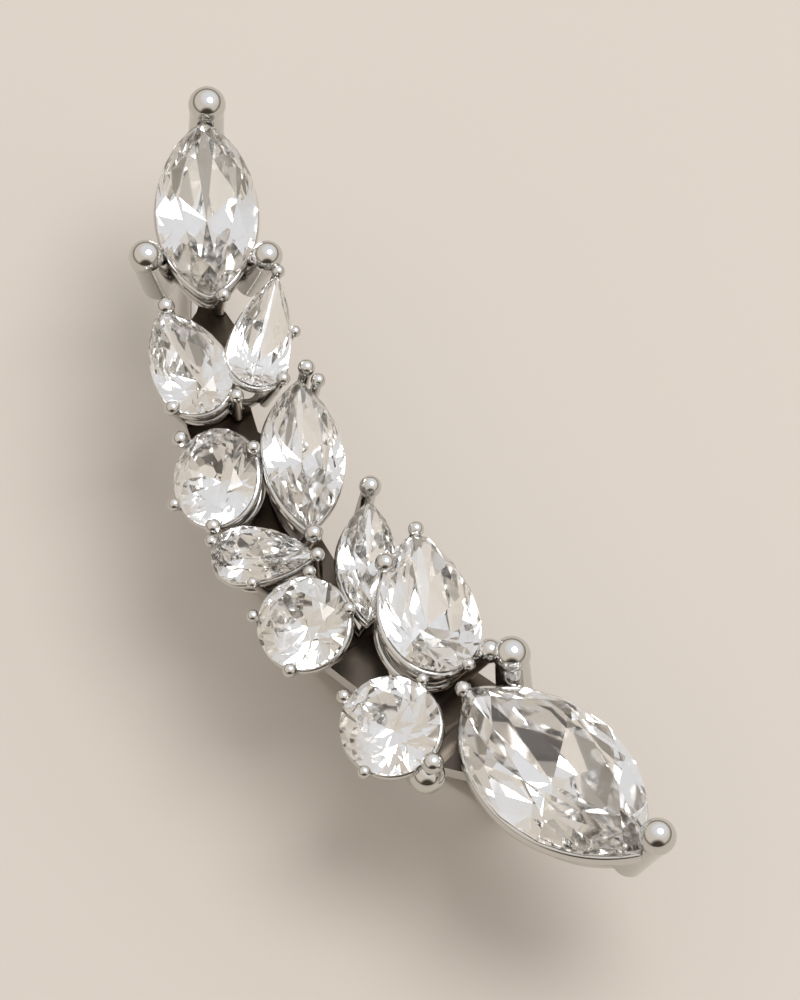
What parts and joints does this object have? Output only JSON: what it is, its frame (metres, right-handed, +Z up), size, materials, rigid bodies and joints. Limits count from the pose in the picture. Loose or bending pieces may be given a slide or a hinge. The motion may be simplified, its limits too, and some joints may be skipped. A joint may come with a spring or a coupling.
{
  "type": "ear climber",
  "caption": "Ear climber: clear cut stones in claw baskets along a curved cast setting, with a sprung wire behind it that grips the edge of the ear.",
  "frame": {"origin": "centre of the bounding box on the surface that the ear wire lies on", "axes": "+Y towards the top end of the climber, +X to the right seen from the stones, +Z up from the surface to the stones"},
  "size_m": [0.018, 0.0303, 0.0089],
  "materials": {
    "clear_stone": "faceted, polished",
    "polished_metal": "rhodium plated, polished"
  },
  "bodies": {
    "root": {"top_marquise": "clear_stone", "upper_pear": "clear_stone", "small_pear": "clear_stone", "upper_oval": "clear_stone", "inner_marquise": "clear_stone", "side_pear": "clear_stone", "middle_round": "clear_stone", "slim_marquise": "clear_stone", "large_pear": "clear_stone", "lower_round": "clear_stone", "end_marquise": "clear_stone", "setting": "polished_metal", "ear_wire": "polished_metal"}
  },
  "joints": []
}
